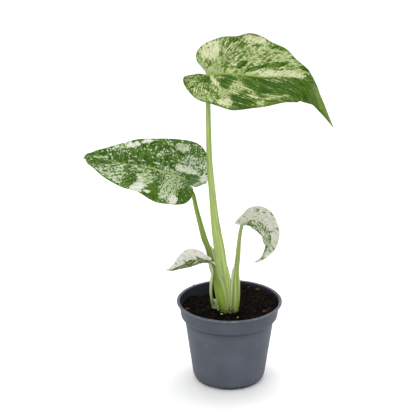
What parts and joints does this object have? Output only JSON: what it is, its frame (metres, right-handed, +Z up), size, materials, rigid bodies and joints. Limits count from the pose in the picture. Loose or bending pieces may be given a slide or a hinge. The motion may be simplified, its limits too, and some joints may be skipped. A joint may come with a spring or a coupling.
{
  "type": "potted mint monstera",
  "caption": "Young mint-variegated monstera with heart-shaped leaves on sheathed stalks, rooted in soil in a round tapered plastic nursery pot with a collar and a rolled rim.",
  "frame": {"origin": "centre of the pot's underside, on the plane the pot stands on", "axes": "+Z up along the pot's axis; -Y is the side the picture looks at; the larger low leaf points to -X and the tall leaf's tip to +X"},
  "size_m": [0.2727, 0.119, 0.3905],
  "materials": {
    "pot_plastic": "satin",
    "soil": "matte",
    "root": "matte",
    "stalk_tall": "satin",
    "stalk_left": "satin",
    "stalk_right": "satin",
    "stalk_low_left": "satin",
    "blade_tall": "satin",
    "blade_left": "satin",
    "blade_right": "satin",
    "blade_low_left": "satin",
    "grain": "matte",
    "bark": "matte"
  },
  "bodies": {
    "root": {"pot": "pot_plastic", "soil": "soil", "crown": "root", "stalk_tall": "stalk_tall", "stalk_left": "stalk_left", "stalk_right": "stalk_right", "stalk_low_left": "stalk_low_left", "blade_tall": "blade_tall", "blade_left": "blade_left", "blade_right": "blade_right", "blade_low_left": "blade_low_left", "grain_1": "grain", "grain_2": "grain", "grain_3": "grain", "bark_1": "bark", "bark_2": "bark", "bark_3": "bark"}
  },
  "joints": []
}
